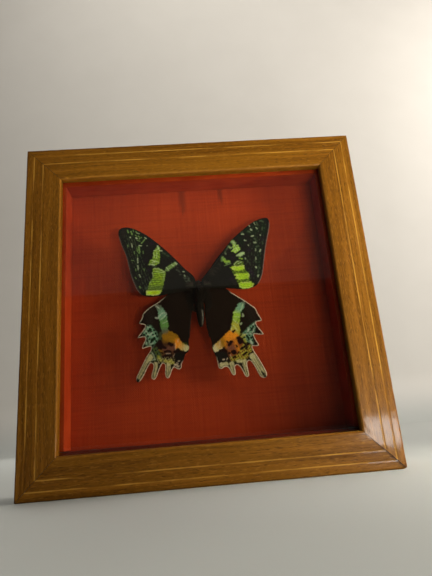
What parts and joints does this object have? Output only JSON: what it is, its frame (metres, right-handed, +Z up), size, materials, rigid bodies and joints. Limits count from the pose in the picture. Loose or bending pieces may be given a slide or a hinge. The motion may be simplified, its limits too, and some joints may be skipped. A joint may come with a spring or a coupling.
{
  "type": "framed butterfly specimen",
  "caption": "Square shadow-box frame of stained wood with red linings and backing, holding a set sunset moth behind glass.",
  "frame": {"origin": "on the ground, at the middle of the frame's width and depth", "axes": "+X to the right of someone facing the glass, +Y towards the back, +Z up"},
  "size_m": [0.18, 0.03, 0.18],
  "materials": {
    "stained_wood": "stained and varnished, satin",
    "glass": "clear, polished",
    "red_lining": "red paint, satin",
    "red_cloth": "plain weave cloth on board",
    "hardboard": "bare hardboard",
    "zinced_steel": "zinc plated",
    "brass_plate": "brass plated, dull",
    "moth_body": "dark scales and short hair",
    "forewing_scales": "black scales with iridescent green bands",
    "hindwing_scales": "black, green, gold and cream scales",
    "pin_steel": "black lacquer"
  },
  "bodies": {
    "root": {"rail_top": "stained_wood", "rail_bottom": "stained_wood", "rail_left": "stained_wood", "rail_right": "stained_wood", "glass_pane": "glass", "lining_top": "red_lining", "lining_bottom": "red_lining", "lining_left": "red_lining", "lining_right": "red_lining", "backing_board": "red_cloth", "back_panel": "hardboard", "fixing_tab_top_a": "zinced_steel", "fixing_tab_top_b": "zinced_steel", "fixing_tab_bottom_a": "zinced_steel", "fixing_tab_bottom_b": "zinced_steel", "fixing_tab_left_a": "zinced_steel", "fixing_tab_left_b": "zinced_steel", "fixing_tab_right_a": "zinced_steel", "fixing_tab_right_b": "zinced_steel", "sawtooth_hanger": "brass_plate", "hanger_rivet_left": "brass_plate", "hanger_rivet_right": "brass_plate", "moth_body": "moth_body", "forewing_left": "forewing_scales", "forewing_right": "forewing_scales", "hindwing_left": "hindwing_scales", "hindwing_right": "hindwing_scales", "antenna_left": "moth_body", "antenna_right": "moth_body", "insect_pin": "pin_steel"}
  },
  "joints": []
}
